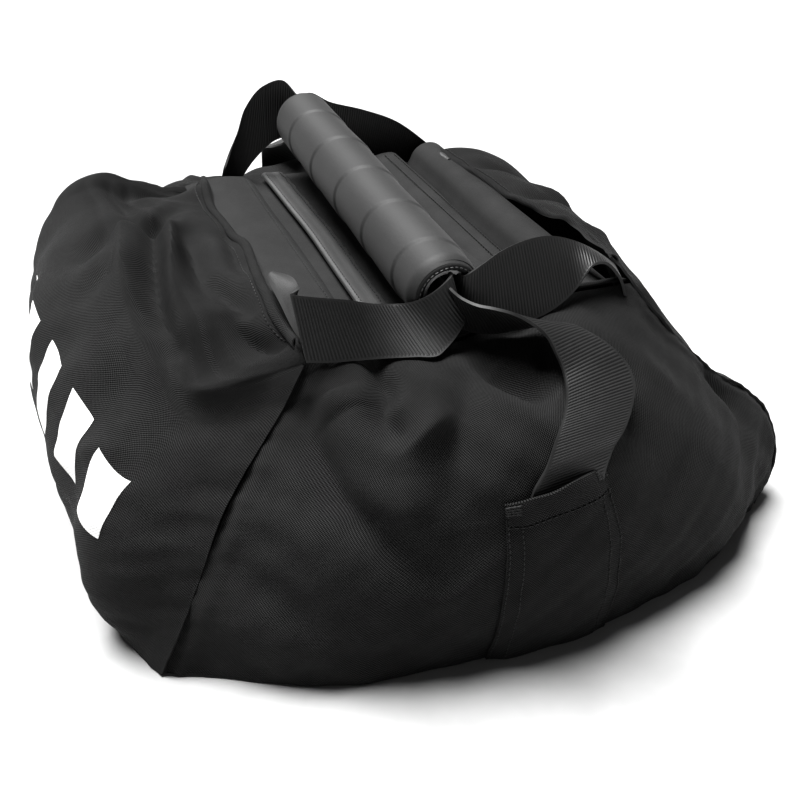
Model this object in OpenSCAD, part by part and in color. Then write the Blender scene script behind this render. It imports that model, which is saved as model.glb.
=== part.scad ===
// Training sandbag. A sewn fabric bag holds two sand fillers under a
// hook-and-loop closure, and a wrapped grip hangs above it on webbing straps.
// X runs across the grip, Y along it and Z up. The front end is at -Y. The bag
// stands on z = 0 and the origin is under the middle of the bag.

/* [Bag] */
// Half the distance between the base corners, across the grip
base_half_x = 185; // [180:1:190]
// Half the distance between the base corners, along the grip
base_half_y = 155; // [150:1:160]
// Half the distance between the end panels' top corners, across the grip
top_half_x = 92; // [90:1:94]
// Half the distance between the end panels' top corners, along the grip
top_half_y = 128; // [127:1:130]
// Height of the end panels' top corners
seam_top_z = 148; // [146:1:149]
// Thickness of the bag's coated fabric
fabric_t = 1.4; // [1:0.1:1.6]

/* [Closure] */
// Height of the closure at the middle of the bag
deck_z = 150; // [148:1:151]
// Rise of the closure towards the rear, in degrees
deck_tilt = 5.7; // [4:0.1:6]
// Width of the flap's lip, from its fold to its edge
lip_w = 24; // [20:1:24]

/* [Grip] */
// Outer diameter over the wrap
grip_d = 40; // [36:1:42]
// Length of the grip
grip_len = 242; // [234:1:243]
// Height of the grip's middle
grip_z = 189; // [188:0.5:195]
// Sideways place of the grip
grip_x = -13; // [-14:1:-12]
// Rise of the grip towards the rear, in degrees
grip_tilt = 8.7; // [8:0.1:9]

/* [Webbing] */
// Width of the webbing
web_w = 38; // [36:1:38]
// Thickness of the webbing
web_t = 1.5; // [1.2:0.1:1.6]
// Width of the sleeves that the strap runs in
sleeve_w = 62; // [60:1:64]
// Height of the sleeves' top hems
sleeve_top_z = 112; // [108:1:114]

/* [Hidden] */
$fn = 64;

black = [0.09, 0.09, 0.1];
webbing_black = [0.06, 0.06, 0.065];
rubber_grey = [0.16, 0.16, 0.165];
base_t = 2;             // thickness of the base panel
channel_z = 3.2;        // height of the base's channel over the strap
channel_half = 34;      // half the channel's width
panel_z0 = base_t + 0.4; // where the upright panels start
gap = 0.25;             // clearance between neighbouring fabric layers
rows = 14;              // rows of facets up a panel
cols = 14;              // columns of facets across a panel
base_side_x = 190;      // how far the side panels stand out at the base
base_end_y = 212;       // how far the end panels stand out at the base
ear_s = 1.25;           // how far the side panels' corners run on, past the end panels
ear_h = 37;             // height of those corners, where the cross straps are sewn in
ear_lean = 6;           // how far they lean in towards the middle
front_top_z = 132;      // middle of the front end panel's top edge
rear_top_z = 158;       // middle of the rear end panel's top edge
placket_x = 70;         // where the plackets meet the side panels
lip_fold_x = -18;       // the line on which the flap's lip folds

// ---- curves and surfaces -------------------------------------------------

function unit(v) = v / norm(v);
function bezier(p, t) = pow(1 - t, 3) * p[0] + 3 * t * pow(1 - t, 2) * p[1]
    + 3 * t * t * (1 - t) * p[2] + pow(t, 3) * p[3];

// The corner seam in one quarter, from the base (s = 0) to the end panel's top
// corner (s = 1), and on up the side panel's ear (s = ear_s).
function ear(s) = max(0, s - 1) / (ear_s - 1);
function seam(s) = [base_half_x + (top_half_x - base_half_x) * pow(min(s, 1), 1.4),
    base_half_y + (top_half_y - base_half_y) * pow(min(s, 1), 1.5) - ear_lean * ear(s),
    panel_z0 + (seam_top_z - panel_z0) * min(s, 1) + ear_h * ear(s)];

// Outlines of the side and end panels at their middles, as distance and height.
side_mid = [[base_side_x, panel_z0], [232, 75], [214, 200], [placket_x + 2, deck_z - 1]];
function end_mid(top) = [[base_end_y, panel_z0], [228, 78], [220, top + 30], [127, top]];

// A point of the right side panel: s up the panel, v from the front (-1) to the rear (1).
function side_point(s, v) =
    let (c = seam(ear_s * s), m = bezier(side_mid, s), w = 1 - v * v)
    [c[0] + (m[0] - c[0]) * w, v * c[1], c[2] + (m[1] - c[2]) * w
        + tan(deck_tilt) * v * c[1] * w * s * s];

// A point of the rear end panel: s up the panel, u from the left (-1) to the right (1).
function end_point(s, u, top) =
    let (c = seam(s), m = bezier(end_mid(top), s), w = 1 - u * u)
    [u * c[0], c[1] + (m[0] - c[1]) * w, c[2] + (m[1] - c[2]) * w];

function side_normal(s, v) = let (e = 0.01)
    unit(cross(side_point(s, v + e) - side_point(s, v - e), side_point(s + e, v) - side_point(s - e, v)));
function end_normal(s, u, top) = let (e = 0.01)
    unit(cross(end_point(s + e, u, top) - end_point(s - e, u, top),
        end_point(s, u + e, top) - end_point(s, u - e, top)));

// Keeps s inside the range where the power curves are defined.
function inner_s(s) = max(0.012, s);
function off_side(s, v, d) = side_point(s, v) + d * side_normal(inner_s(s), v);
function off_end(s, u, top, d) = end_point(s, u, top) + d * end_normal(inner_s(s), u, top);

// ---- solids from grids ---------------------------------------------------

function quad(a, b, c, d) = [[a, b, c], [a, c, d]];
function join(lists) = [for (l = lists) each l];
function volume(p, f) = [for (t = f) p[t[0]] * cross(p[t[1]], p[t[2]])]
    * [for (t = f) 1];
function reversed(f) = [for (t = f) [t[2], t[1], t[0]]];

// A closed sheet between two grids of points with the same rows and columns.
module sheet(outer, inner) {
    n = len(outer);
    m = len(outer[0]);
    points = concat(join(outer), join(inner));
    k = n * m;
    faces = join(concat(
        [for (i = [0:n - 2], j = [0:m - 2])
            quad(i * m + j, i * m + j + 1, (i + 1) * m + j + 1, (i + 1) * m + j)],
        [for (i = [0:n - 2], j = [0:m - 2])
            quad(k + i * m + j, k + (i + 1) * m + j, k + (i + 1) * m + j + 1, k + i * m + j + 1)],
        [for (j = [0:m - 2]) quad(j, k + j, k + j + 1, j + 1)],
        [for (j = [0:m - 2]) let (a = (n - 1) * m + j) quad(a, a + 1, k + a + 1, k + a)],
        [for (i = [0:n - 2]) let (a = i * m) quad(a, a + m, k + a + m, k + a)],
        [for (i = [0:n - 2]) let (a = i * m + m - 1) quad(a, k + a, k + a + m, a + m)]));
    polyhedron(points, volume(points, faces) < 0 ? faces : reversed(faces), convexity = 6);
}

// A strap through stations [edge a, edge b], as thick as the webbing.
module band(stations) {
    n = len(stations);
    function along(i) = let (a = stations[max(0, i - 1)], b = stations[min(n - 1, i + 1)])
        (b[0] + b[1] - a[0] - a[1]) / 2;
    function normal(i) = unit(cross(along(i), stations[i][1] - stations[i][0]));
    sheet([for (i = [0:n - 1]) [for (p = stations[i]) p + normal(i) * web_t / 2]],
        [for (i = [0:n - 1]) [for (p = stations[i]) p - normal(i) * web_t / 2]]);
}

// A flat strip lying on the sloping closure, its underside lift above it.
module deck_strip(x0, x1, y0, y1, lift, t) {
    translate([0, 0, deck_z]) rotate([deck_tilt, 0, 0]) translate([x0, y0, lift]) cube([x1 - x0, y1 - y0, t]);
}

// ---- bag -----------------------------------------------------------------

// The base's outline: four bowed sides between the corners.
function bowed(side) = side == 0 ? [for (i = [-8:7]) let (v = i / 8)
        [base_half_x + (base_side_x - base_half_x) * (1 - v * v), v * base_half_y]]
    : [for (i = [8:-1:-7]) let (u = i / 8)
        [u * base_half_x, base_half_y + (base_end_y - base_half_y) * (1 - u * u)]];
outline = concat(bowed(0), bowed(1), -bowed(0), -bowed(1));

module base_panel() {
    color(black) {
        difference() {
            linear_extrude(base_t) polygon(outline);
            translate([-channel_half, -300, -1]) cube([2 * channel_half, 600, base_t + 2]);
        }
        intersection() {
            translate([-channel_half - base_t, -200, 0])
                difference() {
                    cube([2 * (channel_half + base_t), 400, channel_z + base_t]);
                    translate([base_t, -1, -1]) cube([2 * channel_half, 402, channel_z + 1]);
                }
        }
    }
}

module side_panel(side) {
    v_of = [for (j = [0:cols]) 2 * j / cols - 1];
    color(black) mirror([side < 0 ? 1 : 0, 0, 0])
        sheet([for (i = [0:rows]) [for (v = v_of) side_point(i / rows, v)]],
            [for (i = [0:rows]) [for (v = v_of) off_side(i / rows, v, -fabric_t)]]);
}

module left_side_panel() { side_panel(-1); }
module right_side_panel() { side_panel(1); }

// The end panels stop short of the corners, inside the side panels.
module end_panel(end) {
    top = end < 0 ? front_top_z : rear_top_z;
    reach = 1 - 2.6 / top_half_x;
    u_of = [for (j = [0:cols]) (2 * j / cols - 1) * reach];
    color(black) mirror([0, end < 0 ? 1 : 0, 0])
        sheet([for (i = [0:rows]) [for (u = u_of) end_point(i / rows, u, top)]],
            [for (i = [0:rows]) [for (u = u_of) off_end(i / rows, u, top, -fabric_t)]]);
}

module front_end_panel() { end_panel(-1); }
module rear_end_panel() { end_panel(1); }

// Woven tape over the raw edges inside each corner.
module corner_seam_tapes() {
    inset = 4.5;
    tape_w = 9;
    n = 8;
    module one() {
        line = [for (i = [0:n]) let (c = seam(0.06 + 0.86 * i / n)) c - [inset, inset, 0]];
        sheet([for (p = line) [p, p - [tape_w, tape_w, 0] / sqrt(2)]],
            [for (p = line) [p + [-1, 1, 0] / sqrt(2), p + ([-tape_w, -tape_w, 0] + [-1, 1, 0]) / sqrt(2)]]);
    }
    color(webbing_black) for (mx = [0, 1], my = [0, 1]) mirror([mx, 0, 0]) mirror([0, my, 0]) one();
}

// Tape standing round the inside of the base seam, open over the strap's channel.
module base_seam_tape() {
    outer = 0.975;
    inner = 0.97;
    tape_h = 9;
    color(webbing_black) translate([0, 0, channel_z + base_t + 0.2]) linear_extrude(tape_h) difference() {
        scale([outer, outer]) polygon(outline);
        scale([inner, inner]) polygon(outline);
    }
}

// ---- sleeves and the strap under the bag ---------------------------------

// Sheet lying on an end panel between two distances off it, raised over the strap.
module sleeve(end) {
    top = end < 0 ? front_top_z : rear_top_z;
    s_top = end < 0 ? 0.485 : 0.482;
    half = sleeve_w / 2;
    flat = web_w / 2 + 2;
    columns = [-half, -half + 8, -flat, -flat / 2, 0, flat / 2, flat, half - 8, half];
    function lift(x) = abs(x) > flat + 0.1 ? gap : web_t + 6 * gap;
    n = 8;
    function grid(extra) = [for (i = [0:n]) let (s = s_top * i / n)
        [for (x = columns) off_end(s, x / seam(s)[0], top, lift(x) + extra)]];
    color(black) mirror([0, end < 0 ? 1 : 0, 0]) sheet(grid(1), grid(0));
}

module front_sleeve() { sleeve(-1); }
module rear_sleeve() { sleeve(1); }

module base_sleeve() {
    half = sleeve_w / 2;
    reach = base_end_y - 2;
    base_sleeve_t = 0.6;
    color(black) translate([-half, -reach, 0]) cube([sleeve_w, 2 * reach, base_sleeve_t]);
}

// The webbing that carries the bag: under the base and up inside both sleeves.
module under_strap() {
    n = 8;
    columns = [for (j = [-2:2]) j * web_w / 4];
    low = 0.85;
    function upright(side, top, d) = [for (i = [0:n]) let (s = 0.03 + 0.437 * i / n)
        [for (x = columns) let (p = off_end(s, x / seam(s)[0], top, gap + d)) [p[0], side * p[1], p[2]]]];
    function turned(list) = [for (i = [len(list) - 1:-1:0]) list[i]];
    function under(y, d) = [[for (x = columns) [x, y, low + web_t - d]]];
    function grid(d) = concat(turned(upright(-1, front_top_z, d)),
        under(-base_end_y - 2 * gap - d, d), under(4 - base_end_y, d),
        under(base_end_y - 4, d), under(base_end_y + 2 * gap + d, d), upright(1, rear_top_z, d));
    color(webbing_black) sheet(grid(web_t), grid(0));
}

// ---- closure -------------------------------------------------------------

closure_front = -123;
closure_rear = 123;
placket_t = 1.2;
tape_t = 1;
binding_w = 5;
lip_lift = placket_t + 2 * tape_t + 3 * gap; // underside of the flap over the closure plane

module left_placket() {
    color(black) deck_strip(-placket_x, lip_fold_x - 2, closure_front, closure_rear, 0, placket_t);
}
module right_placket() {
    color(black) deck_strip(52, placket_x, closure_front, closure_rear, 0, placket_t);
}
module closing_tape(lift) {
    color(webbing_black) deck_strip(lip_fold_x - lip_w + binding_w + 0.5, lip_fold_x - 4,
        closure_front + 6, closure_rear - 6, lift, tape_t);
}
module hook_tape() { closing_tape(placket_t + gap); }
module loop_tape() { closing_tape(placket_t + tape_t + 2 * gap); }
module closure_flap() {
    color(black) deck_strip(lip_fold_x + gap, 58, closure_front + 2, closure_rear - 2, lip_lift, fabric_t);
}
module flap_lip() {
    color(black) deck_strip(lip_fold_x - lip_w + binding_w, lip_fold_x, closure_front + 2,
        closure_rear - 2, lip_lift, fabric_t);
}
// Grosgrain folded over the lip's free edge.
module flap_edge_binding() {
    color(webbing_black) deck_strip(lip_fold_x - lip_w, lip_fold_x - lip_w + binding_w - gap,
        closure_front + 2, closure_rear - 2, lip_lift - 0.4, fabric_t + 0.8);
}

// ---- fillers -------------------------------------------------------------

// A slumped pillow of sand in the rear half, grown or shrunk by d.
module pillow(d) {
    low = 38;
    high = 96;
    hull() {
        for (x = [-138, 138], y = [38, 108]) translate([x, y, low]) sphere(31 + d, $fn = 16);
        for (x = [-62, 62]) translate([x, 164, low]) sphere(31 + d, $fn = 16);
        for (x = [-92, 92], y = [33, 92]) translate([x, y, high]) sphere(26 + d, $fn = 16);
        for (x = [-42, 42]) translate([x, 144, high]) sphere(26 + d, $fn = 16);
    }
}

neck_y = 70;
module filler_bag(end) {
    color([0.2, 0.2, 0.22]) mirror([0, end < 0 ? 1 : 0, 0]) difference() {
        pillow(0);
        pillow(-1);
        translate([-40, neck_y - 2, 110]) cube([80, 4, 30]);
    }
}
module sand(end) {
    color([0.76, 0.66, 0.48]) mirror([0, end < 0 ? 1 : 0, 0]) pillow(-1.4);
}
module front_filler_bag() { filler_bag(-1); }
module rear_filler_bag() { filler_bag(1); }
module front_sand() { sand(-1); }
module rear_sand() { sand(1); }

// Rolled hook-and-loop strips that shut the fillers' necks.
module filler_neck_closures() {
    color(webbing_black) for (y = [-neck_y, neck_y]) translate([-45, y - 12, 122.5]) cube([90, 24, 4]);
}

// ---- trim ----------------------------------------------------------------

// Printed film on the left side panel: a row of plain upright bars.
module printed_mark() {
    bars = 5;
    n = 4;
    bar_v = 0.14;
    function grid(v0, d) = [for (i = [0:n]) [for (j = [0:2])
        off_side(0.27 + 0.25 * i / n, v0 + bar_v * j / 2, d)]];
    color("white") mirror([1, 0, 0]) for (b = [0:bars - 1])
        sheet(grid(-0.8 + b * 0.265, 1), grid(-0.8 + b * 0.265, 0.7));
}

// Close zigzag stitching at the sleeves' top corners.
module bar_tacks() {
    function top(end) = end < 0 ? front_top_z : rear_top_z;
    function grid(end, x0, d) = [for (s = [0.455, 0.475]) [for (x = [x0 - 3, x0 + 3])
        off_end(s, x / seam(s)[0], top(end), 1 + 2 * gap + d)]];
    color(webbing_black) for (end = [-1, 1], side = [-1, 1])
        mirror([0, end < 0 ? 1 : 0, 0])
            sheet(grid(end, side * (sleeve_w / 2 - 4), 0.8), grid(end, side * (sleeve_w / 2 - 4), 0));
}

// Where each cross strap's end is turned out over an ear and sewn down.
module strap_end_folds() {
    n = 4;
    function grid(end, d) = [for (i = [0:n]) [for (j = [0:1])
        off_side(0.85 + 0.13 * i / n, end * (0.93 + 0.055 * j), d)]];
    color(webbing_black) for (side = [-1, 1], end = [-1, 1])
        mirror([side < 0 ? 1 : 0, 0, 0]) sheet(grid(end, 10 * gap + web_t), grid(end, 10 * gap));
}

// ---- straps and grip -----------------------------------------------------

// Each route is a list of [upper edge, lower edge] stations, from the bag's
// corner seam or sleeve to the mouth of the grip.
front_left_route = [[[-88, -123, 187], [-88, -129, 150]], [[-68, -115, 175], [-71, -131, 148]],
    [[-50, -115, 168], [-54, -132, 145]], [[-39, -124, 166], [-39, -137, 143]],
    [[-27, -130, 172], [-26, -140, 144]], [[-17, -130, 177], [-17, -133, 147]]];
front_right_route = [[[88, -121, 184], [88, -129, 151]], [[80, -117, 183], [73, -135, 168]],
    [[60, -115, 187], [58, -139, 169]], [[40, -112, 189], [44, -141, 162]],
    [[16, -116, 187], [24, -141, 156]], [[3, -128, 184], [6, -139, 150]], [[-7, -129, 181], [-6, -133, 148]]];
rear_left_route = [[[-88, 123, 187], [-88, 129, 150]], [[-72, 128, 186], [-74, 134, 151]],
    [[-58, 131, 196], [-60, 128, 160]], [[-48, 132, 214], [-44, 126, 178]],
    [[-34, 131, 227], [-30, 126, 190]], [[-21, 129, 230], [-20, 127, 193]]];
rear_right_route = [[[88, 124, 185], [88, 128, 150]], [[67, 131, 191], [68, 134, 155]],
    [[40, 133, 203], [41, 134, 167]], [[14, 132, 213], [15, 132, 176]], [[-12, 129, 226], [-13, 127, 190]]];
front_end_route = [[[18, -220, 115], [-19, -220, 115]], [[26, -221, 125], [-10, -221, 125]],
    [[38, -217, 134], [-1, -218, 133]], [[48, -208, 136], [8, -208, 140]], [[55, -198, 140], [15, -197, 147]],
    [[57, -183, 145], [19, -185, 155]], [[52, -168, 146], [18, -168, 163]],
    [[34, -156, 144], [12, -154, 169]], [[8, -147, 142], [1, -145, 173]],
    [[-8, -140, 142], [-8, -137, 176]], [[-12, -128, 147], [-12, -128, 176]]];
rear_end_route = [[[18, 220, 115], [-19, 220, 115]], [[18, 221, 136], [-19, 221, 135]],
    [[18, 217, 156], [-19, 217, 152]], [[16, 205, 172], [-21, 205, 164]], [[13, 190, 182], [-22, 188, 170]],
    [[8, 174, 186], [-22, 172, 173]], [[-2, 158, 187], [-20, 156, 178]], [[-12, 142, 190], [-19, 142, 185]],
    [[-15, 134, 208], [-17, 134, 190]]];

module front_cross_strap_left() { color(webbing_black) band(front_left_route); }
module front_cross_strap_right() { color(webbing_black) band(front_right_route); }
module rear_cross_strap_left() { color(webbing_black) band(rear_left_route); }
module rear_cross_strap_right() { color(webbing_black) band(rear_right_route); }
module front_end_strap() { color(webbing_black) band(front_end_route); }
module rear_end_strap() { color(webbing_black) band(rear_end_route); }

core_d = 26.7;       // outside of the grip's plastic tube
core_bore = 20.9;    // inside of the tube
wrap_t = 1.6;        // thickness of the wound rubber tape
rim_t = 2;           // thickness of the rims at the grip's ends
grip_y = -3.4;       // place of the grip's middle along the bag

// Puts its children on the grip's axis, which then runs along Z from the grip's middle.
module on_grip() {
    translate([grip_x, grip_y, grip_z]) rotate([grip_tilt, 0, 0]) rotate([-90, 0, 0]) children();
}
module ring(outer_d, inner_d, length) {
    translate([0, 0, -length / 2]) difference() {
        cylinder(length, d = outer_d);
        translate([0, 0, -1]) cylinder(length + 2, d = inner_d);
    }
}
module grip_wrap() { color(rubber_grey) on_grip() ring(grip_d, grip_d - 2 * wrap_t, grip_len); }
module grip_foam() {
    color("dimgray") on_grip() ring(grip_d - 2 * wrap_t - 0.1, core_d + 0.1, grip_len - 2 * rim_t - 0.2);
}
module grip_core_tube() { color("silver") on_grip() ring(core_d, core_bore, grip_len - 2 * rim_t - 0.2); }
// The carrying webbing, folded lengthways inside the tube.
module grip_webbing() {
    color(webbing_black) on_grip() translate([-web_w / 4, -web_t - 0.2, -grip_len / 2 + 1])
        cube([web_w / 2, 2 * web_t + 0.4, grip_len - 2]);
}
module grip_end_rims() {
    color(rubber_grey) on_grip() for (end = [-1, 1]) translate([0, 0, end * (grip_len - rim_t) / 2])
        ring(grip_d - 2 * wrap_t - 0.1, core_bore + 1, rim_t);
}

base_panel();
left_side_panel();
right_side_panel();
front_end_panel();
rear_end_panel();
corner_seam_tapes();
base_seam_tape();
front_sleeve();
rear_sleeve();
base_sleeve();
under_strap();
left_placket();
right_placket();
hook_tape();
closure_flap();
flap_lip();
loop_tape();
flap_edge_binding();
front_filler_bag();
rear_filler_bag();
front_sand();
rear_sand();
filler_neck_closures();
printed_mark();
bar_tacks();
strap_end_folds();
front_cross_strap_left();
front_cross_strap_right();
rear_cross_strap_left();
rear_cross_strap_right();
front_end_strap();
rear_end_strap();
grip_wrap();
grip_foam();
grip_core_tube();
grip_webbing();
grip_end_rims();
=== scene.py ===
"""Looks of the training sandbag: fabric shell, webbing, closure, grip and stitches."""

import math

import bpy
import numpy as np
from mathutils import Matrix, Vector


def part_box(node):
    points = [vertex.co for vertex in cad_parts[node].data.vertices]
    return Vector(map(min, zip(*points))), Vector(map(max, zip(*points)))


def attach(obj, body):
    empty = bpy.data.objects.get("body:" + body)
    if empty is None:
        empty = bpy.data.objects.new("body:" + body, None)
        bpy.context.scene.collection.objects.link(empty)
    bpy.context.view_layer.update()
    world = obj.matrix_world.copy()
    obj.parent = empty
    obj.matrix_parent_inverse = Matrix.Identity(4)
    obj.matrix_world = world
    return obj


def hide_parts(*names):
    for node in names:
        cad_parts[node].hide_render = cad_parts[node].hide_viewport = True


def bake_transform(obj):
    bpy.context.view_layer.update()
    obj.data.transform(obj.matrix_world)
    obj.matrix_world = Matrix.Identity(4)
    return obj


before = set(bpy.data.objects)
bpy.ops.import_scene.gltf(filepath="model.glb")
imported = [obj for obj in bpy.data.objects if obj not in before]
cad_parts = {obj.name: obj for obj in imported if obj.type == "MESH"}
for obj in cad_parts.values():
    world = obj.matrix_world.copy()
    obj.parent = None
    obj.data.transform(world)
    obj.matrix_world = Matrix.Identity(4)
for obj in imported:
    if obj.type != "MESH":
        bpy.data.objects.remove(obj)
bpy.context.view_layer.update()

MM = 0.001  # the shapes below are worked out in millimetres

# ---- the bag's shape: seams and profiles, bottom to top --------------------

SEAM = {
    "front_left": [
        (-185, -155, 1), (-172, -157, 30), (-158, -155, 60), (-143, -149, 88), (-124, -141, 110),
        (-105, -133, 130), (-90, -128, 150),
    ],
    "front_right": [
        (197, -164, 1), (210, -159, 20), (213, -152, 40), (206, -148, 60), (187, -146, 79),
        (165, -146, 94), (136, -145, 118), (112, -137, 144), (101, -128, 160),
    ],
    "rear_right": [
        (188, 158, 1), (194, 166, 40), (188, 168, 80), (170, 164, 115), (144, 158, 145),
        (118, 142, 164), (92, 128, 162),
    ],
    "rear_left": [
        (-185, 155, 1), (-198, 165, 40), (-204, 166, 80), (-197, 164, 118), (-178, 158, 150),
        (-146, 148, 164), (-91, 128, 158),
    ],
}
EAR = {
    "front_left": [(-90, -128, 150), (-91, -127, 155), (-92, -125, 160)],
    "front_right": [(101, -128, 160), (98, -122, 166), (93, -114, 171)],
    "rear_right": [(92, 128, 162), (93, 126, 168), (94, 123, 174)],
    "rear_left": [(-91, 128, 158), (-88, 126, 165), (-84, 123, 172)],
}
EAR_S = 1.25  # the side panels run on to this height, past the end panels' top at 1
SIDES = ("left", "right")
CORNERS = {
    "left": ("front_left", "rear_left"),
    "right": ("front_right", "rear_right"),
    "front": ("front_left", "front_right"),
    "rear": ("rear_left", "rear_right"),
}
PROFILES = {
    "left": {
        -0.85: [
            (-196, -131, 1), (-202, -133, 30), (-197, -133, 60), (-180, -130, 90),
            (-152, -124, 114), (-125, -115, 136), (-107, -110, 152), (-93, -105, 161),
        ],
        -0.5: [
            (-206, -78, 1), (-212, -80, 35), (-212, -82, 72), (-200, -80, 105), (-178, -76, 132),
            (-150, -72, 150), (-118, -70, 162), (-91, -66, 165),
        ],
        0: [
            (-211, 0, 1), (-217, 0, 35), (-221, 0, 75), (-216, 0, 110), (-202, 0, 140),
            (-180, 0, 159), (-150, 0, 167), (-118, 0, 167), (-84, 0, 163),
        ],
        0.55: [
            (-207, 86, 1), (-216, 88, 40), (-218, 92, 80), (-211, 92, 118), (-196, 93, 149),
            (-172, 94, 168), (-145, 90, 171), (-115, 84, 167), (-88, 76, 166),
        ],
        0.85: [
            (-196, 131, 1), (-208, 137, 40), (-212, 140, 80), (-206, 142, 118), (-190, 141, 150),
            (-166, 137, 172), (-138, 128, 171), (-112, 116, 166), (-86, 104, 175),
        ],
    },
    "right": {
        -0.75: [
            (201, -120, 1), (215, -118, 25), (209, -116, 50), (190, -112, 72), (165, -112, 94),
            (140, -108, 117), (118, -104, 140), (106, -98, 158), (103, -92, 168),
        ],
        -0.4: [
            (202, -62, 1), (211, -62, 30), (206, -62, 62), (188, -62, 88), (162, -60, 114),
            (138, -58, 142), (120, -56, 160), (110, -54, 168), (104, -48, 170),
        ],
        0: [
            (198, 0, 1), (206, 0, 35), (206, 0, 68), (195, 0, 97), (176, 0, 124), (151, 0, 149),
            (128, 0, 166), (112, 0, 170), (99, 0, 168),
        ],
        0.4: [
            (196, 60, 1), (206, 62, 40), (202, 62, 75), (187, 62, 110), (159, 60, 146),
            (136, 60, 165), (116, 60, 174), (102, 58, 174), (93, 52, 171),
        ],
        0.75: [
            (193, 118, 1), (200, 122, 40), (196, 124, 80), (182, 120, 115), (160, 114, 147),
            (134, 108, 167), (112, 104, 177), (98, 100, 178), (89, 94, 175),
        ],
    },
    "front": {
        -0.5: [
            (-100, -198, 1), (-94, -203, 40), (-82, -204, 80), (-70, -199, 110), (-58, -187, 131),
            (-50, -170, 143), (-45, -150, 147), (-45, -130, 147),
        ],
        0: [
            (5, -212, 1), (8, -217, 40), (10, -218, 80), (8, -216, 110), (5, -206, 130),
            (3, -186, 143), (2, -160, 146), (2, -130, 148),
        ],
        0.5: [
            (110, -204, 1), (118, -207, 32), (118, -206, 62), (108, -202, 86), (90, -194, 108),
            (72, -180, 128), (60, -160, 147), (52, -128, 160),
        ],
    },
    "rear": {
        -0.5: [
            (-100, 200, 1), (-106, 208, 40), (-108, 210, 80), (-102, 206, 116), (-90, 192, 144),
            (-78, 172, 158), (-62, 150, 162), (-45, 129, 162),
        ],
        0: [
            (0, 212, 1), (0, 219, 40), (0, 221, 80), (0, 217, 112), (0, 204, 142), (0, 182, 160),
            (0, 155, 168), (0, 130, 164),
        ],
        0.5: [
            (100, 202, 1), (103, 210, 40), (101, 212, 80), (92, 206, 115), (80, 192, 145),
            (68, 172, 165), (57, 152, 170), (47, 129, 165),
        ],
    },
}

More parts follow.
